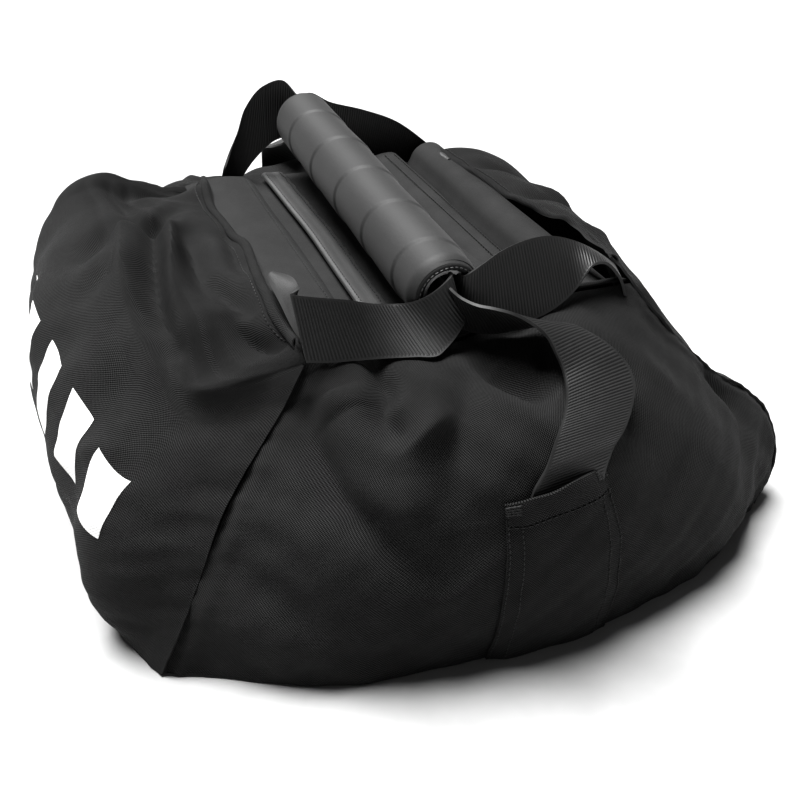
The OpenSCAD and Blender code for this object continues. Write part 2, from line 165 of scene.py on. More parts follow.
# Folds: route of (height s, place v along the panel), depth (minus is a valley), width.
FOLDS = {
    "left": [
        (
            [(1.04, 0.3), (0.99, 0.01), (0.95, -0.27), (0.94, -0.44), (0.94, -0.56), (0.97, -0.7)],
            -9, 8,
        ),
        ([(0.95, 0.28), (0.91, -0.06), (0.91, -0.32)], 4, 8),
        ([(1.07, 0.24), (1.03, -0.09), (1.01, -0.35)], 5, 8),
        ([(1.11, 0.20), (1.09, -0.15), (1.09, -0.42)], -6, 9),
        ([(1.12, -0.26), (1.15, -0.47), (1.18, -0.64)], -5, 8),
        ([(1.22, 0.20), (1.20, -0.06), (1.21, -0.30)], -3, 6),
        ([(0.92, 0.34), (0.86, 0.23), (0.82, 0.14)], -5, 10),
        ([(0.92, 0.22), (0.87, -0.01), (0.80, -0.10)], -3, 7),
        ([(0.94, -0.62), (0.97, -0.75), (1.05, -0.92)], 5, 8),
        ([(1.12, -0.60), (1.15, -0.74), (1.18, -0.92)], -5, 8),
        ([(0.99, 0.36), (1.04, 0.28), (1.10, 0.42), (1.13, 0.50)], -5, 7),
        ([(0.98, 0.74), (0.99, 0.50), (1.00, 0.34)], -5, 8),
        ([(1.02, 0.80), (1.06, 0.46)], -4, 8),
        ([(1.03, 0.76), (1.10, 0.93)], -5, 9),
        ([(0.83, -0.30), (0.80, -0.47), (0.73, -0.58)], -2, 9),
        ([(0.93, 0.90), (0.93, 0.72)], 4, 20),
        ([(0.70, 0.35), (0.60, 0.05), (0.55, -0.30)], 2, 22),
        ([(0.55, -0.55), (0.72, -0.72)], 2.5, 14),
        ([(0.30, 0.20), (0.24, -0.25)], -1.5, 20),
    ],
    "right": [
        ([(1.18, -0.45), (1.02, -0.42), (0.88, -0.34)], -6, 9),
        ([(1.16, 0.05), (1.00, 0.10), (0.84, 0.02)], -7, 11),
        ([(1.14, 0.45), (0.98, 0.40), (0.82, 0.28)], -6, 10),
        ([(1.10, -0.78), (0.95, -0.66), (0.80, -0.58)], -5, 9),
        ([(1.02, 0.82), (0.90, 0.66), (0.74, 0.56)], -7, 10),
        ([(1.00, -0.20), (0.86, -0.14)], 4, 11),
        ([(0.98, 0.25), (0.86, 0.18)], 4, 10),
        ([(0.90, -0.50), (0.74, -0.62)], 4, 11),
        ([(0.60, -0.30), (0.52, 0.20)], 2, 20),
        ([(0.40, 0.60), (0.32, 0.10)], -2, 18),
    ],
    "front": [
        ([(0.97, -0.64), (0.87, -0.63), (0.80, -0.64), (0.71, -0.56)], -8, 8),
        ([(0.68, -0.54), (0.73, -0.42), (0.77, -0.34)], 5, 9),
        (
            [(0.82, -0.9), (0.74, -0.84), (0.63, -0.75), (0.53, -0.64), (0.45, -0.52), (0.36, -0.4)],
            -6, 11,
        ),
        ([(0.88, -0.82), (0.80, -0.76)], 5, 14),
        ([(0.84, -0.25), (0.67, -0.36), (0.54, -0.34), (0.45, -0.30)], -7, 13),
        ([(0.88, -0.06), (0.80, 0.04), (0.74, 0.14)], -11, 13),
        ([(0.90, 0.26), (0.82, 0.16)], -4, 6),
        ([(0.62, 0.94), (0.52, 0.90), (0.42, 0.86)], -5, 8),
        ([(0.62, -0.50), (0.50, -0.46)], 3, 12),
        ([(0.80, 0.42), (0.62, 0.36), (0.44, 0.34)], -2.5, 13),
        ([(0.74, 0.62), (0.56, 0.60)], 2, 16),
    ],
    "rear": [
        ([(0.95, 0.55), (0.80, 0.60), (0.64, 0.50)], -7, 10),
        ([(0.86, -0.86), (0.72, -0.74), (0.54, -0.58), (0.40, -0.44)], -6, 12),
        ([(0.90, -0.22), (0.72, -0.34), (0.52, -0.30)], -7, 12),
        ([(0.88, 0.08), (0.76, 0.18)], -8, 12),
        ([(0.86, 0.88), (0.68, 0.80), (0.50, 0.62)], -6, 11),
        ([(0.78, -0.55), (0.64, -0.46)], 4, 11),
    ],
}
FOLD_GAIN = {"left": 1.7, "right": 1.2, "front": 1.35, "rear": 1.2}
SWELL_SEED = {"left": 3, "right": 5, "front": 7, "rear": 11}

PANEL_T = 1.4  # thickness of the bag's fabric
WEB_T = 1.5  # thickness of the webbing
WEB_WIDTH = 38
GRID = 2.6  # spacing of the panels' mesh, for panels of about these sizes
PANEL_HEIGHT = 165
PANEL_LENGTH = {"left": 165, "right": 165, "front": 190, "rear": 190}
SHELL_CENTRE = (0, 0, 70)  # a point inside the bag, which its outer cloth faces away from
DECK_CENTRE = (0, 0, 60)  # the same for the cloth of the closure

CLOTH_FRAMES = 20  # length of the panels' cloth simulation
CLOTH_QUALITY = 6
CLOTH_BENDING = 2.0
CLOTH_SPARE = 0.012  # share by which the cloth is too long for its seams
CLOTH_PRESSURE = 1.2
CLOTH_START = 3.0  # how far inside its final place the cloth starts, as it swells
CLOTH_CAP = 8.0  # farthest that the simulation moves a point
CLOTH_SMOOTH = 2  # passes of smoothing over the simulated shift


def unit(vectors):
    """Vectors scaled to length 1."""
    return vectors / np.maximum(np.linalg.norm(vectors, axis=-1, keepdims=True), 1e-9)


def hermite(p0, p1, m0, m1, u):
    """Cubic curve from p0 to p1 with slopes m0 and m1, at u from 0 to 1."""
    return (
        (2 * u**3 - 3 * u**2 + 1) * p0
        + (u**3 - 2 * u**2 + u) * m0
        + (3 * u**2 - 2 * u**3) * p1
        + (u**3 - u**2) * m1
    )


def lengths(line):
    """Distance along a line of points, from 0 at the first."""
    return np.r_[0, np.cumsum(np.linalg.norm(np.diff(line, axis=0), axis=1))]


def spline(points, t):
    """Smooth curve through points, at shares t of its length."""
    p = np.array(points, float)
    knots = lengths(p)
    knots /= knots[-1]
    slope = np.gradient(p, knots, axis=0)
    t = np.clip(np.asarray(t, float), 0, 1)
    i = np.clip(np.searchsorted(knots, t, side="right") - 1, 0, len(p) - 2)
    h = (knots[i + 1] - knots[i])[..., None]
    u = (t - knots[i])[..., None] / h
    return hermite(p[i], p[i + 1], slope[i] * h, slope[i + 1] * h, u)


def seam_curve(corner, s):
    """A corner seam at heights s; above 1 it runs up the ear."""
    low = spline(SEAM[corner], np.minimum(s, 1))
    high = spline(EAR[corner], np.clip((s - 1) / (EAR_S - 1), 0, 1))
    return np.where((s > 1)[..., None], high, low)


def panel_top(name):
    """Height s at which a panel ends."""
    return EAR_S if name in SIDES else 1.0


def lofted_panel(name, s, v):
    """Points of a panel before its folds, at heights s and places v from -1 to 1."""
    first, last = CORNERS[name]
    places = sorted(PROFILES[name])
    inner = [spline(PROFILES[name][k], s / panel_top(name)) for k in places]
    curves = np.stack([seam_curve(first, s), *inner, seam_curve(last, s)])
    knots = np.array([-1.0, *places, 1.0])
    slopes = np.gradient(curves, knots, axis=0)
    i = np.clip(np.searchsorted(knots, v, side="right") - 1, 0, len(knots) - 2)
    h = (knots[i + 1] - knots[i])[..., None]
    u = (v - knots[i])[..., None] / h

    def pick(values, index):
        return np.take_along_axis(values, index[None, ..., None], 0)[0]

    ends = pick(curves, i), pick(curves, i + 1)
    return hermite(*ends, pick(slopes, i) * h, pick(slopes, i + 1) * h, u)


def normals_of(grid, centre=SHELL_CENTRE):
    """Unit normals of a grid of points, pointing away from centre."""
    n = unit(np.cross(np.gradient(grid, axis=0), np.gradient(grid, axis=1)))
    away = np.sum(n * (grid - np.array(centre, float)), axis=-1).mean()
    return n if away >= 0 else -n


def distance_to(points, route):
    """Distance from points to a polyline and the share of its length at the nearest place."""
    best = np.full(points.shape[:-1], 1e9)
    share = np.zeros_like(best)
    steps = np.linalg.norm(np.diff(route, axis=0), axis=1)
    done = 0.0
    for a, b, step in zip(route[:-1], route[1:], steps):
        t = np.clip(np.sum((points - a) * (b - a), axis=-1) / step**2, 0, 1)
        d = np.linalg.norm(points - a - t[..., None] * (b - a), axis=-1)
        near = d < best
        best = np.where(near, d, best)
        share = np.where(near, (done + t * step) / steps.sum(), share)
        done += step
    return best, share


def fold_shape(d, width):
    """Cross-section of a fold: a narrow crest or valley with low shoulders of the other sign."""
    x = d / width
    return np.exp(-(x**1.5)) * (1 - 0.4 * x**2)


def folded_panel(name):
    """Grid of a panel with its folds, seam allowance and fabric unevenness."""
    rows = 2 * int(PANEL_HEIGHT / GRID) + 1
    cols = 2 * int(PANEL_LENGTH[name] / GRID) + 1
    heights = np.linspace(0, panel_top(name), rows)
    s, v = np.meshgrid(heights, np.linspace(-1, 1, cols), indexing="ij")
    smooth = lofted_panel(name, s, v)
    normal = normals_of(smooth)
    push = np.zeros(s.shape)
    for route, depth, width in FOLDS[name]:
        at = np.array(route)
        line = spline(np.c_[at, np.zeros(len(at))], np.linspace(0, 1, 14))
        d, share = distance_to(smooth, lofted_panel(name, line[:, 0], line[:, 1]))
        fade = np.sin(np.pi * np.clip(0.1 + 0.86 * share, 0, 1)) ** 0.6
        push += FOLD_GAIN[name] * depth * fade * fold_shape(d, width * (0.8 + 0.4 * share))
    push += unevenness(smooth, name)
    push += seam_allowance(name, smooth)
    return smooth + push[..., None] * normal


def unevenness(points, name):
    """Slight swells of the filled fabric, a sum of a few waves with a fixed seed."""
    rng = np.random.default_rng(SWELL_SEED[name])
    total = np.zeros(points.shape[:-1])
    for wave in (95, 60, 38, 24):
        direction = unit(rng.normal(size=(2, 3)))
        a = points @ direction[0] * 2 * np.pi / wave + rng.uniform(0, 6)
        b = points @ direction[1] * 2 * np.pi / wave + rng.uniform(0, 6)
        total += np.sin(a) * np.sin(b) * wave / 70
    return total


def seam_allowance(name, points):
    """Side panels lap proud over the end panels at the corner seams, with a light pucker."""
    first, last = points[:, :1], points[:, -1:]
    d = np.minimum(np.linalg.norm(points - first, axis=-1), np.linalg.norm(points - last, axis=-1))
    lap = 0.8 * np.exp(-((d / 6) ** 2)) if name in SIDES else -1.4 * np.exp(-((d / 4) ** 2))
    ridge = 0.7 * np.exp(-(((d - 9) / 3.5) ** 2))
    length = np.cumsum(np.linalg.norm(np.gradient(points, axis=0), axis=-1), axis=0)
    pucker = 0.2 * np.sin(length * 2 * np.pi / 9.5) * np.exp(-d / 12)
    return lap + ridge + pucker


def faces_inwards(grid, normal):
    """Whether a grid's rows and columns turn about its normal so that its faces need reversing."""
    across = np.cross(grid[1, 0] - grid[0, 0], grid[0, 1] - grid[0, 0])
    return np.sum(across * normal[0, 0]) > 0


def grid_faces(rows, cols):
    """Quads between the points of a grid, numbered row by row."""
    i, j = np.meshgrid(np.arange(rows - 1), np.arange(cols - 1), indexing="ij")
    a = (i * cols + j).ravel()
    return np.stack([a, a + 1, a + cols + 1, a + cols], 1).tolist()


def simulated(grid, faces):
    """The points of a grid after a short cloth simulation, with its border held by the seams.

    The cloth is slightly longer than its seams allow and the fill presses on it from inside, so
    its folds deepen and it swells between them.
    """
    mesh = bpy.data.meshes.new("settling_cloth")
    mesh.from_pydata((grid.reshape(-1, 3) * MM).tolist(), [], faces)
    cloth = bpy.data.objects.new("settling_cloth", mesh)
    bpy.context.scene.collection.objects.link(cloth)
    held = np.ones(grid.shape[:2], bool)
    held[1:-1, 1:-1] = False
    pins = cloth.vertex_groups.new(name="held")
    pins.add(np.flatnonzero(held).tolist(), 1.0, "ADD")
    modifier = cloth.modifiers.new("cloth", "CLOTH")
    modifier.point_cache.frame_start, modifier.point_cache.frame_end = 1, CLOTH_FRAMES
    modifier.collision_settings.use_collision = False
    settings = modifier.settings
    settings.vertex_group_mass = "held"
    settings.quality = CLOTH_QUALITY
    settings.bending_stiffness = CLOTH_BENDING
    settings.shrink_min = -CLOTH_SPARE
    settings.use_pressure = True
    settings.uniform_pressure_force = CLOTH_PRESSURE
    settings.effector_weights.gravity = 0.0
    for step in range(1, CLOTH_FRAMES + 1):
        bpy.context.scene.frame_set(step)
    result = cloth.evaluated_get(bpy.context.evaluated_depsgraph_get()).data
    moved = np.zeros(grid.size)
    result.vertices.foreach_get("co", moved)
    bpy.data.objects.remove(cloth)
    bpy.data.meshes.remove(mesh)
    bpy.context.scene.frame_set(1)
    return moved.reshape(grid.shape) / MM


def settled(points):
    """A panel after its cloth has settled.

    Every second point is simulated, the shift is capped and smoothed, and the others follow.
    """
    coarse = points[::2, ::2]
    rows, cols = coarse.shape[:2]
    normal = normals_of(coarse)
    free = np.sin(np.linspace(0, np.pi, rows))[:, None] * np.sin(np.linspace(0, np.pi, cols))
    start = coarse - normal * CLOTH_START * np.abs(free[..., None]) ** 0.5
    faces = grid_faces(rows, cols)
    if faces_inwards(coarse, normal):
        faces = [face[::-1] for face in faces]
    shift = simulated(start, faces) - coarse
    size = np.linalg.norm(shift, axis=-1, keepdims=True)
    shift *= CLOTH_CAP * np.tanh(size / CLOTH_CAP) / np.maximum(size, 1e-9)
    for _ in range(CLOTH_SMOOTH):
        shift[1:-1] = (shift[:-2] + 2 * shift[1:-1] + shift[2:]) / 4
        shift[:, 1:-1] = (shift[:, :-2] + 2 * shift[:, 1:-1] + shift[:, 2:]) / 4
    fine = np.zeros_like(points)
    fine[::2, ::2] = shift
    fine[1::2, ::2] = (shift[:-1] + shift[1:]) / 2
    fine[:, 1::2] = (fine[:, :-1:2] + fine[:, 2::2]) / 2
    return points + fine


PANELS = {name: folded_panel(name) for name in CORNERS}
PANELS = {name: settled(points) for name, points in PANELS.items()}
NORMALS = {name: normals_of(points) for name, points in PANELS.items()}


def on_panel(name, s, v, lift=0.0):
    """Points on a finished panel at heights s and places v, raised by lift, and their normals."""
    rows, cols = PANELS[name].shape[:2]
    s, v = np.broadcast_arrays(np.asarray(s, float), np.asarray(v, float))
    i = np.clip(s / panel_top(name), 0, 1) * (rows - 1)
    j = np.clip((v + 1) / 2, 0, 1) * (cols - 1)
    i0, j0 = np.minimum(i.astype(int), rows - 2), np.minimum(j.astype(int), cols - 2)
    a, b = (i - i0)[..., None], (j - j0)[..., None]

    def mix(values):
        low = values[i0, j0] * (1 - b) + values[i0, j0 + 1] * b
        high = values[i0 + 1, j0] * (1 - b) + values[i0 + 1, j0 + 1] * b
        return low * (1 - a) + high * a

    n = unit(mix(NORMALS[name]))
    return mix(PANELS[name]) + np.asarray(lift, float)[..., None] * n, n


# ---- meshes ----------------------------------------------------------------


def new_piece(name, points, faces, material, uv=None, sharp=50):
    """A mesh object from points in millimetres, with smooth shading up to the sharp angle."""
    mesh = bpy.data.meshes.new(name)
    mesh.from_pydata((np.asarray(points) * MM).tolist(), [], faces)
    mesh.polygons.foreach_set("use_smooth", [True] * len(mesh.polygons))
    if uv is not None:
        layer = mesh.uv_layers.new(name="cloth")
        index = np.zeros(len(mesh.loops), int)
        mesh.loops.foreach_get("vertex_index", index)
        layer.data.foreach_set("uv", (np.asarray(uv)[index] * MM).ravel())
    mesh.set_sharp_from_angle(angle=math.radians(sharp))
    mesh.materials.append(material)
    mesh.update()
    piece = bpy.data.objects.new(name, mesh)
    bpy.context.scene.collection.objects.link(piece)
    return piece


def place(piece, body, slot, *nodes):
    """The piece rides on a body and stands for these CAD nodes; the slot is not used."""
    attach(piece, body)
    if nodes:
        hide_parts(*nodes)
    return piece


def cloth_uv(grid, width=None):
    """Flat cloth coordinates of a grid, by length along its middle row and its middle column.

    Webbing of a given width is spread evenly over that width instead.
    """
    rows, cols = grid.shape[:2]
    across = np.linspace(0, width, cols) if width else lengths(grid[rows // 2])
    return np.stack(np.meshgrid(across, lengths(grid[:, cols // 2])), -1)


def sheet(name, outer, thickness, material, normal=None, centre=SHELL_CENTRE, width=None):
    """A sheet of cloth: a grid of points and its copy one thickness behind, closed by rims."""
    rows, cols = outer.shape[:2]
    n = normals_of(outer, centre) if normal is None else normal
    points = np.concatenate([outer.reshape(-1, 3), (outer - n * thickness).reshape(-1, 3)])
    uv = np.concatenate([cloth_uv(outer, width).reshape(-1, 2)] * 2)
    faces = grid_faces(rows, cols)
    back = rows * cols
    faces += [[back + k for k in face[::-1]] for face in faces]
    faces += rim_faces(rows, cols, back)
    if faces_inwards(outer, n):
        faces = [face[::-1] for face in faces]
    return new_piece(name, points, faces, material, uv)


def rim_faces(rows, cols, back):
    """Quads round a grid's border, to its copy whose numbers start at back."""
    edge = list(range(cols - 1))
    edge += [i * cols + cols - 1 for i in range(rows - 1)]
    edge += [(rows - 1) * cols + j for j in range(cols - 1, 0, -1)]
    edge += [i * cols for i in range(rows - 1, 0, -1)]
    return [[a + back, b + back, b, a] for a, b in zip(edge, edge[1:] + edge[:1])]


def interpolated(places, along, values):
    """Rows of values, given at lengths along a line, read off at places."""
    return np.stack([np.interp(places, along, column) for column in values.T], 1)


def stitches(name, runs, material, pitch=3.2, length=2.3, width=0.75, height=0.45):
    """Thread stitches along runs, each a list of points and normals: one small spindle each."""
    points, faces = [], []
    for line, normal in runs:
        along = lengths(line)
        places = np.arange(pitch / 2, along[-1], pitch)
        middle = interpolated(places, along, line)
        ahead = unit(interpolated(places + 0.5, along, line) - middle)
        side = unit(np.cross(interpolated(places, along, normal), ahead))
        up = np.cross(ahead, side)
        for m, a, w, u in zip(middle, ahead, side, up):
            first = len(points)
            for share, size in ((-0.5, 0.25), (-0.28, 0.9), (0.28, 0.9), (0.5, 0.25)):
                for k in range(6):
                    turn = k * math.pi / 3
                    offset = w * math.cos(turn) * width / 2 + u * math.sin(turn) * height
                    points.append(m + a * share * length + offset * size - u * 0.1 * abs(share))
            for ring in range(3):
                for k in range(6):
                    low = first + ring * 6
                    faces.append([low + k, low + (k + 1) % 6, low + 6 + (k + 1) % 6, low + 6 + k])
            faces.append([first + k for k in range(5, -1, -1)])
            faces.append([first + 18 + k for k in range(6)])
    return new_piece(name, np.array(points), faces, material)


# ---- materials -------------------------------------------------------------

MATERIALS = {}  # the finished materials by name


def grey(tone):
    return (tone, tone, tone, 1)


class Nodes:
    """Small helper that adds linked shader nodes to one material."""

    def __init__(self, name):
        self.name = name
        self.material = bpy.data.materials.new(name)
        self.material.use_nodes = True
        self.tree = self.material.node_tree
        self.tree.nodes.clear()
        self.output = self.tree.nodes.new("ShaderNodeOutputMaterial")
        self.shader = self.tree.nodes.new("ShaderNodeBsdfPrincipled")
        self.link(self.shader.outputs[0], self.output.inputs["Surface"])

    def link(self, source, target):
        self.tree.links.new(source, target)

    def put(self, value, target):
        if isinstance(value, (int, float, tuple)):
            target.default_value = value
        else:
            self.link(value, target)

    def math(self, kind, *values):
        node = self.tree.nodes.new("ShaderNodeMath")
        node.operation = kind
        for k, value in enumerate(values):
            self.put(value, node.inputs[k])
        return node.outputs[0]

    def uv(self):
        """The cloth coordinates, in metres, as two values."""
        node = self.tree.nodes.new("ShaderNodeUVMap")
        node.uv_map = "cloth"
        split = self.tree.nodes.new("ShaderNodeSeparateXYZ")
        self.link(node.outputs[0], split.inputs[0])
        return split.outputs[0], split.outputs[1]

    def weave(self, pitch):
        """Height of a basket weave, from 0 to 1: dots of thread in a diagonal pattern."""
        turn = 2 * math.pi / (pitch * MM)
        across, along = (self.math("SINE", self.math("MULTIPLY", k, turn)) for k in self.uv())
        return self.math("MULTIPLY_ADD", self.math("MULTIPLY", across, along), 0.5, 0.5)

    def in_object(self):
        return self.tree.nodes.new("ShaderNodeTexCoord").outputs["Object"]

    def noise(self, scale, detail=3.0, rough=0.5):
        node = self.tree.nodes.new("ShaderNodeTexNoise")
        node.inputs["Scale"].default_value = scale
        node.inputs["Detail"].default_value = detail
        node.inputs["Roughness"].default_value = rough
        self.link(self.in_object(), node.inputs["Vector"])
        return node.outputs[0]

    def ramp(self, value, *stops):
        """Grey by value; each stop is (place, grey)."""
        node = self.tree.nodes.new("ShaderNodeValToRGB")
        elements = node.color_ramp.elements
        while len(elements) < len(stops):
            elements.new(0.5)
        for element, (position, tone) in zip(elements, stops):
            element.position = position
            element.color = grey(tone)
        self.link(value, node.inputs[0])
        return node.outputs[0]

    def mottled(self, colour, scale, *stops, detail=4.0, rough=0.6):
        """A colour lightened and darkened by slow noise."""
        tone = self.ramp(self.noise(scale, detail, rough), *stops)
        return self.mix(1.0, colour, tone, "MULTIPLY")

    def mix(self, share, a, b, kind="MIX"):
        node = self.tree.nodes.new("ShaderNodeMix")
        node.data_type = "RGBA"
        node.blend_type = kind
        self.put(share, node.inputs[0])
        self.put(a, node.inputs[6])
        self.put(b, node.inputs[7])
        return node.outputs[2]

    def bump(self, height, distance, strength=1.0):
        node = self.tree.nodes.new("ShaderNodeBump")
        node.inputs["Distance"].default_value = distance
        node.inputs["Strength"].default_value = strength
        self.link(height, node.inputs["Height"])
        self.link(node.outputs[0], self.shader.inputs["Normal"])

    def finish(self, colour, rough, sheen=0.0, specular=0.5):
        self.put(colour, self.shader.inputs["Base Color"])
        self.put(rough, self.shader.inputs["Roughness"])
        self.shader.inputs["Sheen Weight"].default_value = sheen
        self.shader.inputs["Sheen Roughness"].default_value = 0.45
        self.shader.inputs["Specular IOR Level"].default_value = specular
        MATERIALS[self.name] = self.material


def woven(name, dark, light, pitch, depth=0.0004, rough=0.62, sheen=0.03):
    """Woven cloth: light threads, dark between them, with slow tone changes and finer wear."""
    m = Nodes(name)
    height = m.math("MULTIPLY_ADD", m.noise(2600, 2.0), 0.25, m.weave(pitch))
    thread = m.ramp(height, (0.28, dark), (0.95, light))
    colour = m.mottled(thread, 9, (0.3, 0.82), (0.7, 1.12))
    colour = m.mottled(colour, 70, (0.35, 0.9), (0.8, 1.12), detail=5.0, rough=0.7)
    roughness = m.math("MULTIPLY_ADD", m.noise(300, 2.0), 0.16, rough - 0.08)
    m.bump(height, depth)
    m.finish(colour, roughness, sheen, specular=0.08)


THREAD_PITCH = 1.5  # spacing of the lines along the webbing


def ribbed(name, dark, light, pitch, width=WEB_WIDTH):
    """Webbing: ribs across the strap, fine thread lines along it and smooth selvedges, painted paler
    as a highlight along the edges.
    """
    m = Nodes(name)
    u, w = m.uv()
    half = width / 2 * MM
    middle = m.math("ABSOLUTE", m.math("SUBTRACT", u, half))
    # selvedge mask: smooth edges without ribs, and the place of the painted highlight
    selvedge_and_painted_highlight = m.ramp(m.math("MULTIPLY", middle, 1 / half), (0.9, 0.0), (0.95, 1.0))
    rib = m.math("SINE", m.math("MULTIPLY", w, 2 * math.pi / (pitch * MM)))
    rib = m.math("MULTIPLY", rib, m.math("SUBTRACT", 1.0, selvedge_and_painted_highlight))
    line = m.math("SINE", m.math("MULTIPLY", u, 2 * math.pi / (THREAD_PITCH * MM)))
    height = m.math("MULTIPLY_ADD", m.math("MULTIPLY_ADD", line, 0.06, rib), 0.45, 0.5)
    colour = m.ramp(height, (0.1, dark), (0.9, light))
    colour = m.mottled(colour, 14, (0.3, 0.85), (0.7, 1.15))
    # painted highlight: the selvedges are mixed towards the light grey, as light caught along the
    # webbing's edges
    colour = m.mix(m.math("MULTIPLY", selvedge_and_painted_highlight, 0.6), colour, grey(light))
    m.bump(height, 0.00022)
    roughness = m.math("MULTIPLY_ADD", m.noise(260), 0.14, 0.44)
    m.finish(colour, roughness, sheen=0.03, specular=0.45)


def grainy(name, dark, light, scale, depth, rough, sheen=0.0, specular=0.4):
    """Fine irregular grain in object space, for rubber tape, foam, thread, sand and the floor."""
    m = Nodes(name)
    grain = m.noise(scale, 4.0, 0.6)
    colour = m.mottled(m.ramp(grain, (0.3, dark), (0.72, light)), 12, (0.3, 0.88), (0.7, 1.1))
    m.bump(grain, depth, 0.8)
    m.finish(colour, m.math("MULTIPLY_ADD", grain, 0.2, rough - 0.1), sheen, specular)


def looped(name, dark, light, pitch, depth):
    """Hook or loop tape: a close pile of small points."""
    m = Nodes(name)
    cells = m.tree.nodes.new("ShaderNodeTexVoronoi")
    cells.inputs["Scale"].default_value = 1 / (pitch * MM)
    m.link(m.in_object(), cells.inputs["Vector"])
    height = m.ramp(cells.outputs["Distance"], (0.05, 1.0), (0.6, 0.0))
    m.bump(height, depth)
    colour = m.ramp(height, (0.1, dark), (0.9, light))
    m.finish(colour, 0.7, sheen=0.03, specular=0.3)


def printed(name):
    """White print that follows the weave, with fabric showing through where it has worn."""
    m = Nodes(name)
    worn = m.ramp(m.noise(420, 5.0, 0.75), (0.66, 0.0), (0.74, 1.0))
    colour = m.mix(worn, (0.83, 0.83, 0.82, 1), grey(0.30))
    m.bump(m.weave(2.0), 0.00015)
    m.finish(colour, 0.55, specular=0.3)


woven("bag_fabric", 0.001, 0.037, 1.45, rough=0.66, sheen=0.015)
woven("closure_fabric", 0.008, 0.046, 1.1, depth=0.00015, rough=0.6)
woven("filler_fabric", 0.008, 0.02, 1.4)
ribbed("webbing", 0.0005, 0.016, 1.75)
# the straps' own webbing painted paler for the folded tabs: painted sheen
ribbed("tab_webbing_painted_sheen", 0.016, 0.040, 1.2, width=12)
ribbed("binding", 0.016, 0.040, 1.2, width=18)
grainy("grip_rubber", 0.024, 0.034, 900, 0.00012, rough=0.62, sheen=0.05, specular=0.35)
grainy("grip_foam", 0.008, 0.018, 1500, 0.0002, rough=0.85)
grainy("grip_tube", 0.45, 0.5, 200, 0.00005, rough=0.4)
grainy("thread", 0.006, 0.016, 2500, 0.00008, rough=0.6, sheen=0.05)
grainy("pale_thread", 0.05, 0.09, 2500, 0.00008, rough=0.6, sheen=0.05)
looped("hook_tape", 0.004, 0.02, 1.2, depth=0.0005)
looped("loop_tape", 0.006, 0.026, 0.7, depth=0.0004)
grainy("sand", 0.32, 0.48, 1800, 0.0004, rough=0.85)
printed("white_print")

# ---- the shell -------------------------------------------------------------


def bag_cloth(name, grid, thickness, *nodes, normal=None, centre=SHELL_CENTRE):
    """A sheet of the bag's fabric, fixed to the bag."""
    piece = sheet(name, grid, thickness, MATERIALS["bag_fabric"], normal, centre)
    place(piece, "bag", "bag_fabric", *nodes)


def thread(name, runs, body="bag", slot="bag_fabric"):
    """Dark stitches along runs, on a body."""
    place(stitches(name, runs, MATERIALS["thread"]), body, slot)


def shell_panels():
    for name in CORNERS:
        kind = "side" if name in SIDES else "end"
        bag_cloth(f"{name}_panel_cloth", PANELS[name], PANEL_T, f"{name}_{kind}_panel")


def base_cloth():
    """The bottom cloth, spanned between the panels' lower edges."""
    t = np.linspace(-1, 1, 60)
    left, right, front, rear = (on_panel(name, 0, t)[0] for name in CORNERS)
    a, b = np.meshgrid((t + 1) / 2, (t + 1) / 2, indexing="ij")
    a, b = a[..., None], b[..., None]
    ruled = left[:, None] * (1 - b) + right[:, None] * b + front[None] * (1 - a) + rear[None] * a
    near = left[0] * (1 - b) + right[0] * b
    far = left[-1] * (1 - b) + right[-1] * b
    grid = ruled - near * (1 - a) - far * a
    grid[..., 2] = 1.0
    bag_cloth("base_cloth", grid, 1.2, "base_panel")


def inside_tape(name, panel, s, v, node):
    """A tape sewn behind a panel, over a seam allowance."""
    points, n = on_panel(panel, s, v, -PANEL_T - 0.5)
    piece = sheet(name, points, 0.6, MATERIALS["binding"], n)
    place(piece, "bag", "binding", node)


def seam_tapes():
    """Tapes inside the four corners, and round the base seam."""
    up, across = np.linspace(0.03, 0.95, 70)[:, None], np.linspace(0.94, 0.985, 5)[None]
    for side in SIDES:
        for corner, sign in zip(CORNERS[side], (-1, 1)):
            inside_tape(f"{corner}_seam_tape", side, up, across * sign, "corner_seam_tapes")
    up, across = np.linspace(0.012, 0.035, 4)[:, None], np.linspace(-0.97, 0.97, 90)[None]
    for name in CORNERS:
        inside_tape(f"{name}_base_seam_tape", name, up, across, "base_seam_tape")


FACING_START, FACING_REACH = 3, 16  # how far inside the edge a top facing starts and turns in


def top_facings():
    """The end panels' top edges turned in and down, in front of the closure."""
    for name, side, drop in (("front", -1, 16), ("rear", 1, 14)):
        edge = on_panel(name, 1, np.linspace(-0.97, 0.97, 90))[0]
        rows = []
        for t in np.linspace(0, 1, 12):
            turn = math.pi / 2 * t
            inward = FACING_START + FACING_REACH * math.sin(turn)
            down = drop * (1 - math.cos(turn)) - 1.5
            rows.append(edge - np.array([0, side * inward, down]))
        bag_cloth(f"{name}_top_facing", np.array(rows), 1.2, centre=(0, side * 60, 60))


# ---- sleeves and the strap under the bag -----------------------------------

SLEEVE_TOP = 0.52  # height s of the sleeves' mouths
SLEEVE_BULGE = 2.6
MOUTH_GAPE = 3.2
STRAP_TOP = 0.46  # height s up to which the strap under the bag runs inside the sleeves


def sleeve_edges(s, side):
    """Places v of the sleeve's two edges on the panel; the front one leans a little with height."""
    share = s / SLEEVE_TOP
    if side < 0:
        return -0.15 - 0.05 * share**2, 0.18 - 0.065 * share
    return -0.15 + 0 * share, 0.16 + 0 * share


